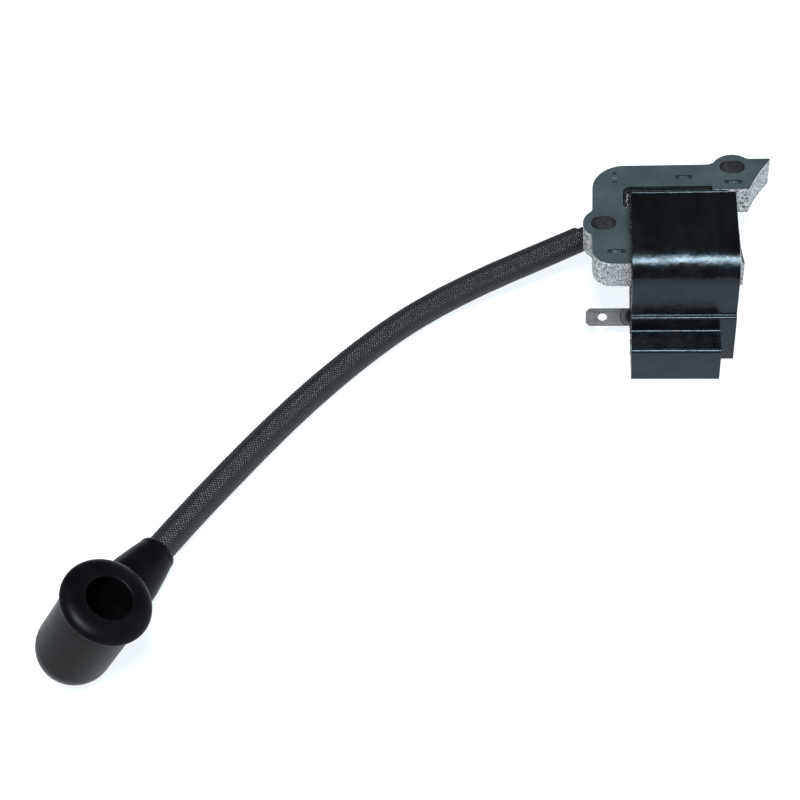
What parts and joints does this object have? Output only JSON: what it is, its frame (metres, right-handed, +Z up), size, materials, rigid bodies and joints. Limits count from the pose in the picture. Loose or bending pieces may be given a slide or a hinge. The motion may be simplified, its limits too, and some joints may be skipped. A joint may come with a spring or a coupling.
{
  "type": "ignition coil",
  "caption": "Small-engine ignition coil: laminated core with slotted ears, moulded coil housing, blade terminal, braided high-tension lead and elbow plug boot.",
  "frame": {"origin": "centre of the module's footprint (core, housing and terminal), on the surface it rests on", "axes": "+X along the core's yoke towards its poles, +Y from the lower limb towards the yoke, +Z up, normal to the laminations"},
  "size_m": [0.1771, 0.157, 0.0344],
  "materials": {
    "core_steel": "satin blued lamination steel, bare sheared edges",
    "housing_plastic": "glossy moulded black",
    "potting": "rough cast resin",
    "bobbin_plastic": "moulded natural",
    "winding_copper": "enamelled copper wire",
    "board": "solder resist",
    "component_black": "moulded epoxy",
    "component_tan": "dipped coating",
    "component_red": "dipped coating",
    "terminal_steel": "plated",
    "lead_rubber": "matt",
    "braid": "woven sleeve",
    "boot_rubber": "satin moulded",
    "spring_steel": "bright wire"
  },
  "bodies": {
    "module": {"core_stack": "core_steel", "coil_housing": "housing_plastic", "potting_compound": "potting", "primary_bobbin": "bobbin_plastic", "secondary_bobbin": "bobbin_plastic", "primary_winding": "winding_copper", "secondary_winding_1": "winding_copper", "secondary_winding_2": "winding_copper", "secondary_winding_3": "winding_copper", "circuit_board": "board", "switching_transistor": "component_black", "trigger_transistor": "component_black", "flyback_diode": "component_black", "base_resistor": "component_tan", "timing_resistor": "component_tan", "timing_capacitor": "component_red", "kill_terminal": "terminal_steel", "ground_strap": "terminal_steel", "ht_pin": "terminal_steel", "lead_conductor": "winding_copper", "lead_insulation": "lead_rubber", "lead_sleeve": "braid", "lead_seal": "lead_rubber"},
    "boot": {"plug_boot": "boot_rubber", "boot_spring": "spring_steel"}
  },
  "joints": [
    {"name": "boot_swivel", "type": "hinge", "parent": "module", "child": "boot", "pos_m": [-0.14286, -0.11761, 0.00936], "axis": [0.4424, 0.8912, -0.0999], "range_deg": [-100, 50]}
  ]
}
